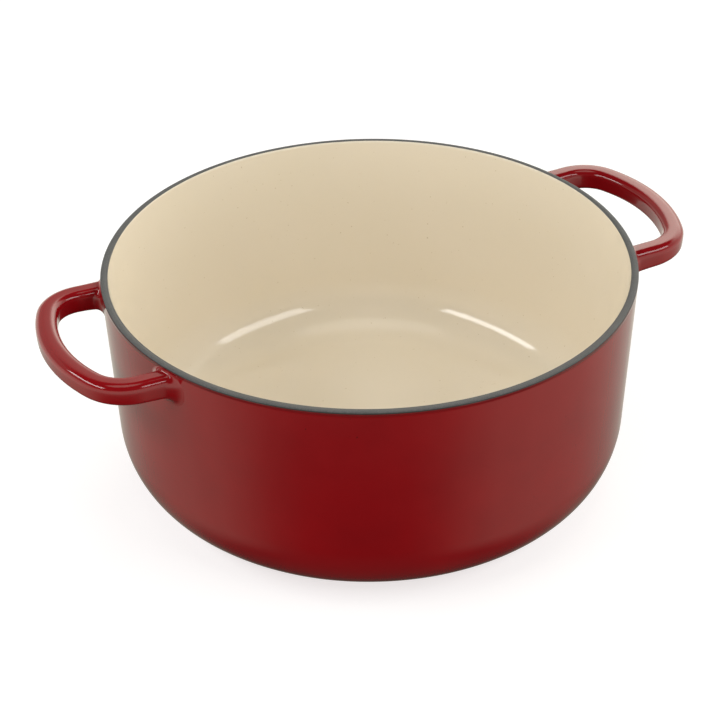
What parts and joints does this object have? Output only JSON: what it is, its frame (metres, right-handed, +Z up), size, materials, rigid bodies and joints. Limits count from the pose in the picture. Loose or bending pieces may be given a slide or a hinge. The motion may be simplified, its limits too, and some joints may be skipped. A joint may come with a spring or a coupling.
{
  "type": "dutch oven",
  "caption": "Round enamelled cast-iron casserole pot without its lid, with a flat base, straight walls and a loop handle on each side.",
  "frame": {"origin": "centre of the circle that the foot ring stands on", "axes": "+Z up, along the pot's axis; +X through the right handle, -X through the left handle"},
  "size_m": [0.3392, 0.2668, 0.1164],
  "materials": {
    "cast_iron": "as cast, under fired enamel",
    "foot_ground_coat": "ground flat after firing, matt dark grey",
    "rim_ground_coat": "matt dark grey ground coat, finely speckled",
    "cream_enamel": "glossy vitreous enamel, cream",
    "red_enamel": "glossy vitreous enamel, deep red"
  },
  "bodies": {
    "root": {"pot_body": "cast_iron", "left_handle": "cast_iron", "right_handle": "cast_iron", "foot_ring": "foot_ground_coat", "rim_band": "rim_ground_coat", "interior_enamel": "cream_enamel", "exterior_enamel": "red_enamel", "underside_enamel": "red_enamel", "left_handle_enamel": "red_enamel", "right_handle_enamel": "red_enamel"}
  },
  "joints": []
}
